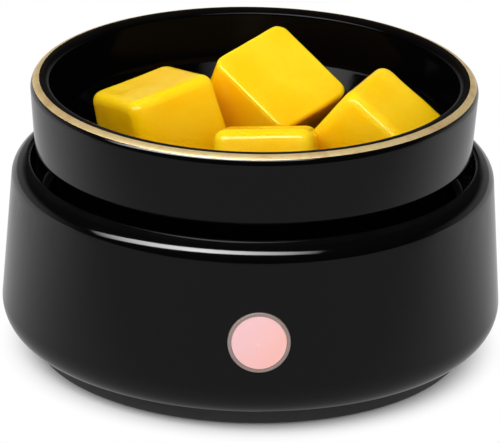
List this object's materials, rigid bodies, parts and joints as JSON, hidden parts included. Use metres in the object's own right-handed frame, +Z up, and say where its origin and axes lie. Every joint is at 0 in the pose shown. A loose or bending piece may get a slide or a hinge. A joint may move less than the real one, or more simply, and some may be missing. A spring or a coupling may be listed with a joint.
{
  "type": "wax melt warmer",
  "caption": "Round black glazed wax warmer: a heated base with a lit push button, a lift-off melt dish with a gilt rim, and yellow wax melts in the dish.",
  "frame": {"origin": "centre of the base on the plane that the rubber feet stand on", "axes": "+Z up, the push button faces -Y, the cord gland faces +Y, +X to the right seen from the button"},
  "size_m": [0.13, 0.13, 0.0778],
  "materials": {
    "black_glaze": "gloss",
    "black_plastic": "satin",
    "zinc_steel": "satin",
    "foot_rubber": "matte",
    "plate_aluminium": "satin",
    "gasket_fibre": "matte",
    "mica": "satin",
    "ribbon_steel": "satin",
    "shield_aluminium": "satin",
    "cutout_ceramic": "matte",
    "green_board": "satin",
    "relay_blue": "satin",
    "capacitor_yellow": "satin",
    "capacitor_sleeve": "gloss",
    "fuse_glass": "gloss",
    "terminal_green": "satin",
    "socket_white": "satin",
    "bezel_plastic": "satin",
    "milky_cap": "satin",
    "switch_red": "satin",
    "lamp_coral": "gloss",
    "white_sleeving": "matte",
    "grey_lead": "matte",
    "gland_rubber": "matte",
    "gilding": "polished",
    "yellow_wax": "satin"
  },
  "bodies": {
    "warmer_base": {"base_shell": "black_glaze", "bottom_cover": "black_plastic", "cover_screws": "zinc_steel", "rubber_feet": "foot_rubber", "heating_plate": "plate_aluminium", "plate_gasket": "gasket_fibre", "mica_sheet_upper": "mica", "heater_ribbon": "ribbon_steel", "mica_sheet_lower": "mica", "heater_blades": "zinc_steel", "clamp_plate": "zinc_steel", "upper_standoffs": "zinc_steel", "heat_shield": "shield_aluminium", "lower_standoffs": "zinc_steel", "thermal_cutout": "cutout_ceramic", "cutout_clip": "zinc_steel", "clip_screws": "zinc_steel", "control_board": "green_board", "board_screws": "zinc_steel", "relay": "relay_blue", "film_capacitor": "capacitor_yellow", "storage_capacitor": "capacitor_sleeve", "timer_chip": "black_plastic", "fuse": "fuse_glass", "terminal_block": "terminal_green", "lead_socket": "socket_white", "button_holder": "bezel_plastic", "tact_switch": "black_plastic", "button_board": "green_board", "indicator_lamps": "lamp_coral", "button_board_screws": "zinc_steel", "heater_lead": "white_sleeving", "cutout_link": "white_sleeving", "cutout_lead": "white_sleeving", "button_lead": "grey_lead", "cord_gland": "gland_rubber", "cord_clamp": "black_plastic", "clamp_screws": "zinc_steel"},
    "melt_dish": {"melt_dish": "black_glaze", "gilt_rim_band": "gilding"},
    "push_button": {"button_cap": "milky_cap", "switch_plunger": "switch_red"},
    "wax_melt_left_body": {"wax_melt_left": "yellow_wax"},
    "wax_melt_back_body": {"wax_melt_back": "yellow_wax"},
    "wax_melt_right_body": {"wax_melt_right": "yellow_wax"},
    "wax_melt_front_body": {"wax_melt_front": "yellow_wax"}
  },
  "joints": [
    {"name": "dish_lift_off", "type": "slide", "parent": "warmer_base", "child": "melt_dish", "axis": [0, 0, 1], "range_m": [0, 0.06]},
    {"name": "power_button_press", "type": "slide", "parent": "warmer_base", "child": "push_button", "axis": [0, 0.9974, -0.0715], "range_m": [0, 0.0006], "stiffness_N_per_m": 500},
    {"name": "left_melt_lift_out", "type": "slide", "parent": "melt_dish", "child": "wax_melt_left_body", "axis": [0, 0, 1], "range_m": [0, 0.05]},
    {"name": "back_melt_lift_out", "type": "slide", "parent": "melt_dish", "child": "wax_melt_back_body", "axis": [0, 0, 1], "range_m": [0, 0.05]},
    {"name": "right_melt_lift_out", "type": "slide", "parent": "melt_dish", "child": "wax_melt_right_body", "axis": [0, 0, 1], "range_m": [0, 0.05]},
    {"name": "front_melt_lift_out", "type": "slide", "parent": "melt_dish", "child": "wax_melt_front_body", "axis": [0, 0, 1], "range_m": [0, 0.05]}
  ]
}
